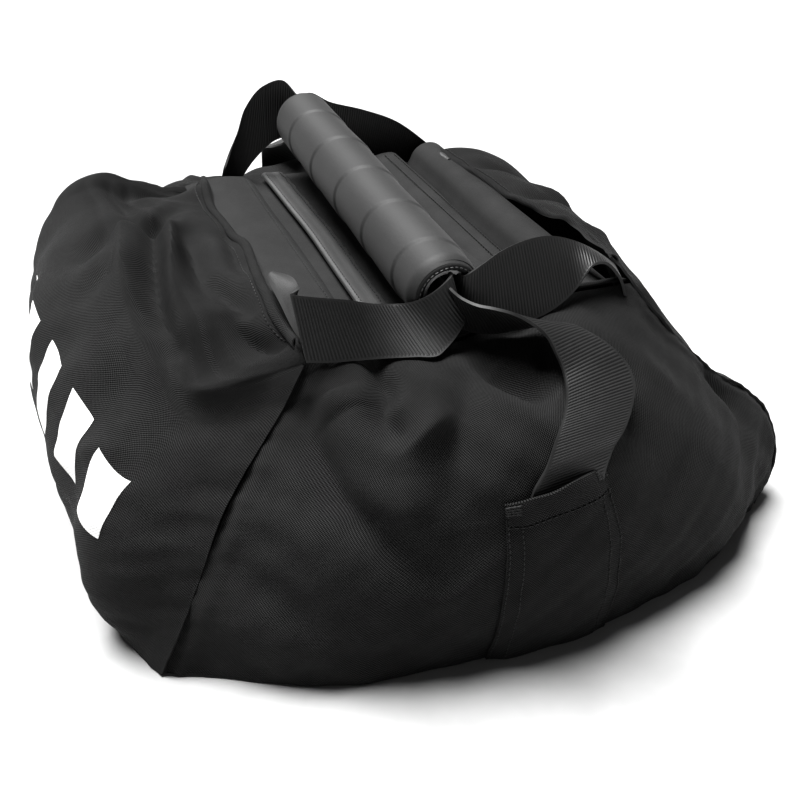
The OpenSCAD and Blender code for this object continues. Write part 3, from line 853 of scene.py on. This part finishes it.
def sleeve(name, side):
    """Cloth sleeve on an end panel, sewn down both sides and open at its hemmed top."""
    s = np.linspace(0, SLEEVE_TOP, 90)[:, None]
    t = np.linspace(0, 1, 49)[None]
    left, right = sleeve_edges(s, side)
    inside = np.clip(np.minimum(t, 1 - t) * 6, 0, 1)
    bulge = SLEEVE_BULGE * np.sin(np.pi / 2 * inside) ** 2 * np.sin(np.pi * t) ** 0.3
    mouth = MOUTH_GAPE * np.exp(-(((SLEEVE_TOP - s) / 0.035) ** 2)) * np.sin(np.pi * t) ** 2
    tilt = 0.03 * (t - 0.5) if side < 0 else 0 * t
    height = s + tilt * s / SLEEVE_TOP
    points, n = on_panel(name, height, left + (right - left) * t, 1.5 + bulge + mouth)
    bag_cloth(f"{name}_sleeve_cloth", points, 1.3, f"{name}_sleeve", normal=n)
    turned, up = points[-11:, 1:-1], n[-11:, 1:-1]
    bag_cloth(f"{name}_sleeve_hem", turned + up * 0.9, 1.0, normal=up)
    sleeve_stitching(name, points, n)


def sleeve_stitching(name, points, n):
    """Two rows of stitches down each side and one along the hem, with bar tacks at the mouth."""
    rows, cols = points.shape[:2]
    runs = []
    for column in (1, 6, cols - 7, cols - 2):
        runs.append((points[:, column] + 0.2 * n[:, column], n[:, column]))
    hem = rows - 12
    runs.append((points[hem] + 0.5 * n[hem], n[hem]))
    thread(f"{name}_sleeve_stitching", runs)
    tacks = []
    for column in (3, cols - 4):
        across = slice(column - 3, column + 4)
        for row in range(rows - 5, rows - 1):
            for share in (0.0, 0.4):
                line = points[row, across] * (1 - share) + points[row - 1, across] * share
                up = np.repeat(n[row, column][None], 7, 0)
                tacks.append((line + 1.1 * up, up))
    size = {"pitch": 2.4, "length": 3.0, "width": 0.8, "height": 0.5}
    piece = stitches(f"{name}_bar_tacks", tacks, MATERIALS["thread"], **size)
    place(piece, "bag", "webbing", "bar_tacks")


def under_strap():
    """Webbing from one sleeve to the other, under the base."""
    x = np.linspace(-WEB_WIDTH / 2, WEB_WIDTH / 2, 9)
    below = STRAP_TOP - np.linspace(STRAP_TOP, 0.01, 40)[:, None]
    half_panel = 165 + 45 * below  # an end panel's half width, which v = 1 stands for
    front = on_panel("front", STRAP_TOP - below, -0.015 + 0.07 * below + x / half_panel, 1.9)[0]
    rear = on_panel("rear", STRAP_TOP - below, 0.005 + x / half_panel, 1.9)[0]
    y = np.linspace(-206, 206, 50)[:, None]
    flat = np.stack(np.broadcast_arrays(x + (206 - y) / 412 * 8, y, 0.85), -1)
    grid = np.concatenate([front, flat, rear[::-1]])
    piece = sheet("under_strap_web", grid, 1.0, MATERIALS["webbing"], width=WEB_WIDTH)
    place(piece, "bag", "webbing", "under_strap")


def base_sleeve():
    """Cloth over the strap on the underside."""
    first, last = -29, 37
    x = np.linspace(first, last, 20)
    y = np.linspace(-207, 207, 80)[:, None]
    edge = np.clip(np.minimum(x - first, last - x) / 8, 0, 1)
    z = 0.75 - 0.5 * np.sin(np.pi / 2 * edge)
    bag_cloth("base_sleeve_cloth", np.stack(np.broadcast_arrays(x, y, z), -1), 0.3, "base_sleeve")


# ---- printed bars ----------------------------------------------------------


def printed_bars():
    """Five plain upright bars on the left side panel."""
    s = np.linspace(0.44, 0.645, 60)[:, None]
    across = np.linspace(-0.075, 0.075, 24)
    for k in range(5):
        points, n = on_panel("left", s, 0.34 - 0.265 * k + across, 0.25)
        piece = sheet(f"printed_bar_{k + 1}", points, 0.22, MATERIALS["white_print"], n)
        place(piece, "bag", "white_print", "printed_mark")


# ---- closure on top --------------------------------------------------------


def deck_z(y):
    """Height of the closure plane, from the CAD plackets' slope."""
    low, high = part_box("left_placket")
    slope = (high.z - low.z - 0.0012) / (high.y - low.y)
    return (low.z + 0.00006 + slope * (y * MM - low.y)) / MM


def section_line(section, cols):
    """Smooth line through a cross-section, as two rows of coordinates."""
    return spline([(a, 0, b) for a, b in section], np.linspace(0, 1, cols)).T[[0, 2]]


def deck_sheet(name, section, y0, y1, thickness, cols=40, wave=0.0, seed=1):
    """A strip along the closure: its cross-section is a list of (x, height over the plane)."""
    across, height = section_line(section, cols)
    y = np.linspace(y0, y1, 110)[:, None]
    rng = np.random.default_rng(seed)
    waves = [np.sin(y / period + rng.uniform(0, 6)) * period / 30 for period in (34, 19, 11)]
    sway = sum(waves) * wave
    x = across + sway * 0.6
    z = deck_z(y) + height + sway * 0.35 * np.sin(across / 9)
    grid = np.stack(np.broadcast_arrays(x, y, z), -1)
    return sheet(name, grid, thickness, MATERIALS["closure_fabric"], centre=DECK_CENTRE)


def closure():
    upper = [(-99, 5), (-88, 7), (-74, 8.5), (-62, 7.6), (-54, 6.0), (-52, 4.4)]
    piece = deck_sheet("left_closure_band", upper, -121, 122, 1.2, wave=0.5, seed=2)
    place(piece, "bag", "bag_fabric")
    lower = [(-62, 2.6), (-52, 2.4), (-44, 2.2), (-36, 1.2), (-20, 1.2)]
    piece = deck_sheet("left_closure_placket", lower, -122, 122, 1.1)
    place(piece, "bag", "bag_fabric", "left_placket")
    flap = [(-40, 5.7), (-30, 5.7), (-18, 5.4), (0, 4.6), (20, 4.8), (34, 7.0), (44, 10.5)]
    piece = deck_sheet("closure_flap_cloth", flap, -121, 121, 1.2, wave=0.25, seed=4)
    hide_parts("closure_flap", "flap_lip")
    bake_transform(piece)
    strip = [
        (38, 7.0), (44, 11), (52, 12.5), (60, 11.5), (63.5, 8), (62, 3), (63, -1), (68, -1.5),
        (72, 4), (77, 12), (85, 16.5), (94, 16), (101, 11), (106, 4),
    ]
    piece = deck_sheet("right_closure_band", strip, -119, 122, 1.3, cols=90, wave=0.9, seed=5)
    place(piece, "bag", "bag_fabric", "right_placket")


BINDING_SECTION = [
    (-43, 5.6), (-43, 6.9), (-42.4, 7.3), (-35, 7.5), (-29, 7.2), (-27.2, 6.6), (-27, 5.9),
]


def lip_binding():
    """Ribbed tape folded over the flap's free edge, with a frayed inner edge and a stitch line."""
    across, height = section_line(BINDING_SECTION, 22)
    y = np.linspace(-121.5, 122, 150)[:, None]
    rng = np.random.default_rng(8)
    fray = rng.uniform(-0.7, 0.7, 90)
    ragged = np.interp(y, np.linspace(-122, 122, 90), fray) * np.clip((across + 33) / 6, 0, 1)
    x = across + ragged + 1.2 * np.sin(y / 41 + 1.0)
    z = deck_z(y) + height + 0.25 * np.sin(y / 13)
    grid = np.stack(np.broadcast_arrays(x, y, z), -1)
    piece = sheet("flap_binding_tape", grid, 0.9, MATERIALS["binding"], centre=DECK_CENTRE)
    place(piece, "lip", "binding", "flap_edge_binding")
    n = normals_of(grid, DECK_CENTRE)
    runs = [(grid[:, k] + 0.15 * n[:, k], n[:, k]) for k in (5, 17)]
    thread("flap_binding_stitching", runs, "lip", "binding")


def closure_stitching():
    """Stitch lines along the closure's bands."""
    y = np.linspace(-116, 118, 120)
    up = np.tile([0.0, 0.0, 1.0], (120, 1))
    rows = ((-57, 7.2), (50, 13.3), (58, 12.9))
    runs = [(np.stack([x + 0 * y, y, deck_z(y) + height], 1), up) for x, height in rows]
    thread("closure_stitching", runs)


HEM_DROP, HEM_BULGE = 2.4, 1.9  # a rolled hem's half height and half thickness


def hem_rolls():
    """Rolled hems along the side panels' top edges, with a stitch line below each."""
    for name in SIDES:
        v = np.linspace(-0.97, 0.97, 150)
        edge, n = on_panel(name, EAR_S - 0.004, v)
        down = unit(on_panel(name, EAR_S - 0.035, v)[0] - edge)
        rows = []
        for k in range(15):
            turn = math.pi * (k / 14 * 1.5 - 0.25)
            drop, bulge = HEM_DROP * (1 - math.cos(turn) * 1.2), HEM_BULGE * math.sin(turn)
            rows.append(edge + down * drop + n * bulge)
        grid = np.array(rows)
        away = unit(grid - (edge + down * HEM_DROP))
        bag_cloth(f"{name}_rolled_hem", grid, 0.8, normal=away)
        line = on_panel(name, EAR_S - 0.04, np.linspace(-0.95, 0.95, 160), 0.25)
        thread(f"{name}_hem_stitching", [line])


# ---- straps ----------------------------------------------------------------

# Each route is a list of stations (upper edge, lower edge), from the bag to the grip's mouth.
ROUTES = {
    "front_cross_strap_left": [
        ((-95, -124, 185), (-91, -129, 151)), ((-82, -121, 180), (-80, -130, 149)),
        ((-67, -119, 175), (-66, -132, 148)), ((-52, -117, 169), (-52, -136, 148)),
        ((-38, -118, 167), (-38, -141, 148)), ((-30, -123, 170), (-27, -144, 148)),
        ((-25, -127, 174), (-22, -142, 150)), ((-19, -129, 179), (-14, -138, 155)),
        ((-14, -127, 182), (-8, -133, 160)), ((-12, -117, 181), (-9, -117, 165)),
    ],
    "front_cross_strap_right": [
        ((98, -117, 157), (94, -132, 152)), ((94, -117, 167), (87, -132, 167)),
        ((86, -118, 173), (78, -130, 176)), ((76, -118, 180), (68, -132, 177)),
        ((62, -118, 187), (56, -135, 165)), ((48, -118, 191), (43, -137, 158)),
        ((33, -119, 191), (31, -138, 155)), ((18, -121, 188), (17, -137, 157)),
        ((5, -125, 184), (3, -135, 160)), ((-5, -127, 181), (-5, -131, 160)),
        ((-9, -117, 180), (-9, -117, 163)),
    ],
    "rear_cross_strap_left": [
        ((-70, 125, 176), (-77, 129, 150)), ((-64, 130, 185), (-68, 132, 152)),
        ((-57, 131, 197), (-60, 129, 162)), ((-49, 132, 214), (-46, 126, 180)),
        ((-35, 131, 228), (-30, 125, 192)), ((-21, 129, 231), (-20, 125, 194)),
        ((-14, 124, 223), (-16, 122, 195)), ((-12, 112, 217), (-14, 112, 198)),
    ],
    "rear_cross_strap_right": [
        ((98, 124, 169), (92, 128, 148)), ((87, 127, 179), (86, 131, 152)),
        ((67, 131, 194), (68, 134, 158)), ((40, 133, 205), (41, 134, 168)),
        ((14, 132, 213), (15, 131, 176)), ((-3, 129, 221), (-4, 127, 186)),
        ((-10, 124, 218), (-12, 123, 194)), ((-15, 112, 214), (-15, 112, 197)),
    ],
    "front_end_strap": [
        ((28, -219, 86), (-12, -219, 86)), ((27, -217, 113), (-13, -218, 110)),
        ((32, -214, 121), (-5, -215, 121)), ((42, -208, 126), (3, -208, 129)),
        ((51, -200, 131), (14, -197, 136)), ((59, -190, 137), (20, -188, 142)),
        ((61, -180, 143), (23, -180, 147)), ((56, -172, 150), (22, -174, 154)),
        ((49, -163, 155), (20, -168, 161)), ((42, -152, 157), (13, -162, 168)),
        ((29, -144, 155), (7, -156, 171)), ((18, -140, 153), (0, -149, 172)),
        ((8, -136, 151), (-6, -142, 172)), ((-3, -131, 152), (-11, -136, 174)),
        ((-10, -126, 155), (-15, -129, 178)), ((-11, -117, 161), (-14, -117, 180)),
    ],
    "rear_end_strap": [
        ((19, 222, 86), (-19, 222, 86)), ((19, 220, 104), (-19, 220, 104)),
        ((18, 219, 120), (-19, 219, 119)), ((18, 220, 136), (-19, 220, 135)),
        ((18, 217, 156), (-19, 217, 152)), ((16, 205, 172), (-21, 205, 164)),
        ((13, 190, 182), (-22, 188, 170)), ((8, 174, 188), (-22, 172, 174)),
        ((-1, 158, 192), (-21, 156, 179)), ((-9, 143, 200), (-20, 141, 184)),
        ((-13, 128, 210), (-19, 127, 192)), ((-14, 110, 211), (-18, 110, 197)),
    ],
}


def ruled_grid(route, rows, cols):
    """Grid between two smooth edges through a route's stations, and its shares along and across."""
    t = np.linspace(0, 1, rows)[:, None, None]
    k = np.linspace(0, 1, cols)[None, :, None]
    one, other = (spline([station[j] for station in route], t[:, 0, 0]) for j in (0, 1))
    return one[:, None] * (1 - k) + other[:, None] * k, t, k


def strap_grid(route):
    """Grid of a strap between its two edges, bowed a little across its width."""
    grid, t, k = ruled_grid(route, 150, 13)
    n = unit(np.cross(np.gradient(grid, axis=0), np.gradient(grid, axis=1)))
    return grid + n * 0.9 * np.sin(np.pi * k) * np.sin(np.pi * t), n


def strap(name, axis, cut):
    """A strap in two halves that meet where the coordinate on axis equals cut.

    The outer half runs from the bag to the cut and the inner half from the cut to the grip.
    """
    grid, n = strap_grid(ROUTES[name])
    middle = grid[:, grid.shape[1] // 2, axis]
    k = int(np.argmin(np.abs(middle - cut)))
    web = MATERIALS["webbing"]
    for half, rows in (("outer", slice(0, k + 1)), ("inner", slice(k, None))):
        piece = sheet(f"{name}_{half}", grid[rows], WEB_T, web, n[rows], width=WEB_WIDTH)
        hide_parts(name)
        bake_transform(piece)


def straps():
    strap("front_cross_strap_left", 0, -36)
    strap("front_cross_strap_right", 0, 26)
    strap("rear_cross_strap_left", 0, -36)
    strap("rear_cross_strap_right", 0, 26)
    strap("front_end_strap", 1, -150)
    strap("rear_end_strap", 1, 155)


def strap_tabs():
    """The cross straps' ends, folded under and sewn to the side panels' ears, in webbing painted
    paler as sheen.
    """
    tabs = {
        "front_left": [
            ((-80, -40, 162), (-86, -44, 161)), ((-77, -62, 167), (-89, -68, 163)),
            ((-80, -84, 172), (-91, -90, 164)), ((-87, -106, 179), (-92, -110, 162)),
            ((-94, -121, 184), (-91, -127, 158)),
        ],
        "rear_left": [
            ((-84, 84, 158), (-86, 84, 159)), ((-78, 100, 161), (-84, 102, 164)),
            ((-74, 114, 162), (-81, 116, 165)),
        ],
        "front_right": [
            ((86, -84, 168), (90, -84, 169)), ((84, -98, 168), (92, -100, 170)),
            ((86, -110, 166), (94, -113, 168)),
        ],
        "rear_right": [
            ((86, 84, 174), (90, 84, 175)), ((84, 100, 174), (92, 102, 176)),
            ((86, 112, 170), (93, 115, 171)),
        ],
    }
    # paler copy of the webbing: painted sheen on the tabs
    web = MATERIALS["tab_webbing_painted_sheen"]
    for corner, route in tabs.items():
        grid, _, k = ruled_grid(route, 50, 9)
        grid[..., 2] += 1.5 * np.sin(np.pi * k[..., 0])
        piece = sheet(f"{corner}_strap_tab", grid, 1.3, web, centre=DECK_CENTRE)
        place(piece, "bag", "webbing", "strap_end_folds")


# ---- grip ------------------------------------------------------------------

GRIP_HALF = 120.5  # half of the grip's length
GRIP_RADIUS = 19.6
GRIP_TILT = 8.7  # degrees that the grip rises towards the rear
WINDING = 45.0  # length of one turn of the tape
TAPE_LAP = 0.75

# Section of a padded rim: radius and how far it stands out past the tube's end.
RIM_SECTION = [
    (16.8, -4), (17.4, -1.5), (17.0, 0.5), (15.6, 1.2), (14.0, 0.6), (13.3, -1.5), (13.5, -6),
]


def grip_frame():
    """The grip's middle, from the CAD tube's box, and its directions along, sideways and up."""
    low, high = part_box("grip_wrap")
    tilt = math.radians(GRIP_TILT)
    axis = np.array([0, math.cos(tilt), math.sin(tilt)])
    side = np.array([1.0, 0, 0])
    return np.array((low + high) / 2) / MM, axis, side, np.cross(side, axis)


def around(turn, side, up):
    """Unit directions at angles round the grip."""
    return np.cos(turn)[..., None] * side + np.sin(turn)[..., None] * up


def grip():
    """Rubber tape wound round the grip, with overlaps every turn."""
    middle, axis, side, up = grip_frame()
    length = np.linspace(-GRIP_HALF, GRIP_HALF, 260)[:, None]
    turn = np.linspace(0, 2 * np.pi, 72)[None]
    phase = ((length + 6 * np.cos(turn + 0.4) + 12) / WINDING) % 1
    lap = TAPE_LAP * (1 - phase) * np.clip(phase / 0.035, 0, 1)
    dent = 0.25 * np.sin(length / 17) * np.sin(turn * 2)
    end = np.clip((GRIP_HALF - np.abs(length)) / 7, 0, 1)
    r = GRIP_RADIUS + lap + dent - 2.6 * (1 - np.sin(np.pi / 2 * end))
    ring = around(turn, side, up)
    grid = middle + length[..., None] * axis + r[..., None] * ring
    piece = tube("grip_wrap_tape", grid, grid - ring * 2.2, MATERIALS["grip_rubber"])
    place(piece, "grip", "grip_rubber", "grip_wrap")


def tube(name, outer, inner, material):
    """Closed tube wall between an outer and an inner grid whose first and last columns meet."""
    outer, inner = outer[:, :-1], inner[:, :-1]
    rows, cols = outer.shape[:2]
    points = np.concatenate([outer.reshape(-1, 3), inner.reshape(-1, 3)])
    back = rows * cols
    last = (rows - 1) * cols
    faces = []
    for j in range(cols):
        k = (j + 1) % cols
        for row in range(0, last, cols):
            a, b = row + j, row + k
            faces.append([a, a + cols, b + cols, b])
            faces.append([back + a, back + b, back + b + cols, back + a + cols])
        faces.append([j, k, back + k, back + j])
        faces.append([last + k, last + j, back + last + j, back + last + k])
    across = np.linspace(0, 120, cols)
    uv = np.stack(np.meshgrid(across, np.linspace(0, 2 * GRIP_HALF, rows)), -1).reshape(-1, 2)
    return new_piece(name, points, faces, material, np.concatenate([uv, uv]))


def grip_rims():
    """The padded ends of the grip, bound and stitched round the mouth."""
    middle, axis, side, up = grip_frame()
    ring = around(np.linspace(0, 2 * np.pi, 73)[None], side, up)
    radius, out = (row[:, None, None] for row in section_line(RIM_SECTION, 24))
    for end, name in ((-1, "near"), (1, "far")):
        centre = middle + axis * end * GRIP_HALF
        outer = centre + radius * ring + end * out * axis
        inner = centre + radius * 0.93 * ring + end * (out - 1.0) * axis
        piece = tube(f"grip_{name}_rim", outer[::-end], inner[::-end], MATERIALS["grip_foam"])
        place(piece, "grip", "grip_rubber", "grip_end_rims")
        row = centre + 15.6 * ring[0] + axis * end * 1.35
        runs = [(row, np.repeat((axis * end)[None], 73, 0))]
        size = {"pitch": 2.8, "length": 1.9, "width": 0.6, "height": 0.35}
        piece = stitches(f"grip_{name}_rim_stitching", runs, MATERIALS["pale_thread"], **size)
        place(piece, "grip", "grip_rubber")


def grip_webbing():
    """The carrying webbing inside the tube, folded lengthways."""
    middle, axis, side, up = grip_frame()
    y = np.linspace(2 - GRIP_HALF, GRIP_HALF - 2, 60)[:, None, None]
    t = np.linspace(-1, 1, 17)[None, :, None]
    grid = middle + y * axis + 9.0 * t * side + (1.6 + 2.2 * np.cos(np.pi * t / 2)) * up
    below = tuple(middle - up * 30)
    piece = sheet("grip_webbing_fold", grid, WEB_T, MATERIALS["webbing"], centre=below)
    place(piece, "grip", "webbing", "grip_webbing")


# ---- hidden CAD pieces -----------------------------------------------------


def finish_cad_nodes():
    """Carried-over CAD pieces get their procedural materials."""
    finishes = {
        "hook_tape": ("hook_tape", "hook_and_loop"),
        "loop_tape": ("loop_tape", "hook_and_loop"),
        "filler_neck_closures": ("loop_tape", "hook_and_loop"),
        "grip_foam": ("grip_foam", "grip_foam"),
        "grip_core_tube": ("grip_tube", "grip_tube"),
    }
    for end in ("front", "rear"):
        finishes[f"{end}_filler_bag"] = ("filler_fabric", "filler_fabric")
        finishes[f"{end}_sand"] = ("sand", "sand")
    for node, (material, slot) in finishes.items():
        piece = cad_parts[node]
        piece.data.materials.clear()
        piece.data.materials.append(MATERIALS[material])


# ---- stage, lights and camera ----------------------------------------------


def aimed(name, data, direction):
    """An object in the scene that looks along a direction."""
    piece = bpy.data.objects.new(name, data)
    piece.rotation_mode = "QUATERNION"
    piece.rotation_quaternion = Vector(direction).to_track_quat("-Z", "Y")
    bpy.context.scene.collection.objects.link(piece)
    return piece


def camera():
    """The camera looks down on the near left corner."""
    azimuth, down = math.radians(23), math.radians(31.2)
    level = math.cos(down)
    data = bpy.data.cameras.new("camera")
    data.sensor_width = 36
    data.lens = 38.25
    data.clip_start = 0.01
    forward = (math.sin(azimuth) * level, math.cos(azimuth) * level, -math.sin(down))
    view = aimed("camera", data, forward)
    view.location = (-0.190, -0.479, 0.348)
    bpy.context.scene.camera = view


def stage():
    """A wide pale floor, a sky that is bright only near the horizon and a broad high light."""
    grainy("floor", 0.41, 0.44, 4, 0.0, rough=0.8, specular=0.1)
    half = 6000
    points = [(-half, -half, 0), (half, -half, 0), (half, half, 0), (-half, half, 0)]
    new_piece("floor", points, [[0, 1, 2, 3]], MATERIALS["floor"])
    sky()
    sun = bpy.data.lights.new("high_light", "SUN")
    sun.energy = 8.6
    sun.angle = math.radians(34)
    aimed("high_light", sun, (0.15, -0.27, -1.0))
    bpy.context.scene.view_settings.view_transform = "Standard"
    bpy.context.scene.view_settings.look = "Medium High Contrast"


def sky():
    world = bpy.data.worlds.new("world")
    world.use_nodes = True
    tree = world.node_tree
    background = tree.nodes["Background"]
    split = tree.nodes.new("ShaderNodeSeparateXYZ")
    height = tree.nodes.new("ShaderNodeTexCoord")
    ramp = tree.nodes.new("ShaderNodeValToRGB")
    for element, (place, tone) in zip(ramp.color_ramp.elements, ((0.06, 1), (0.24, 0.06))):
        element.position = place
        element.color = grey(tone)
    tree.links.new(height.outputs["Generated"], split.inputs[0])
    tree.links.new(split.outputs[2], ramp.inputs[0])
    tree.links.new(ramp.outputs[0], background.inputs[0])
    bpy.context.scene.world = world


camera()
stage()
shell_panels()
base_cloth()
seam_tapes()
top_facings()
sleeve("front", -1)
sleeve("rear", 1)
under_strap()
base_sleeve()
printed_bars()
closure()
lip_binding()
closure_stitching()
hem_rolls()
straps()
strap_tabs()
grip()
grip_rims()
grip_webbing()
finish_cad_nodes()
